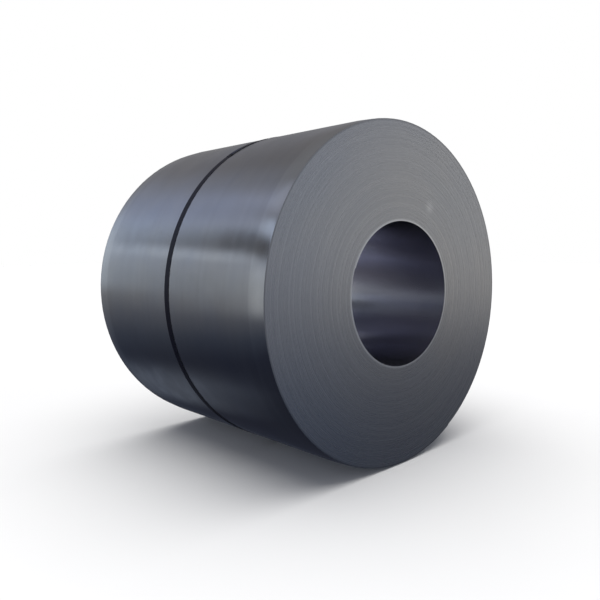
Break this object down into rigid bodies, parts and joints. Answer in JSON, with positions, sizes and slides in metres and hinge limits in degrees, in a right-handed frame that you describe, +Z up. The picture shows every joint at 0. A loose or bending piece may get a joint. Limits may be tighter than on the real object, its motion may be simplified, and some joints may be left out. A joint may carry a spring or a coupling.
{
  "type": "steel coil",
  "caption": "Roll of dark grey sheet steel lying on its side, with an open bore, ringed ends and a crimped steel band round its middle.",
  "frame": {"origin": "middle of the line on which the roll lies, at floor height, under the middle of its width", "axes": "+Z up, Y along the roll's axis with the front end towards -Y, X across the roll"},
  "size_m": [1.452, 1.25, 1.452],
  "materials": {
    "rolled_steel": "dark grey rolled sheet steel, lightly oiled, satin",
    "strap_steel": "blue-black lacquered steel band, semi-gloss",
    "seal_steel": "blackened steel, worn on its corners"
  },
  "bodies": {
    "root": {"coil": "rolled_steel", "strap": "strap_steel", "strap_seal": "seal_steel"}
  },
  "joints": []
}
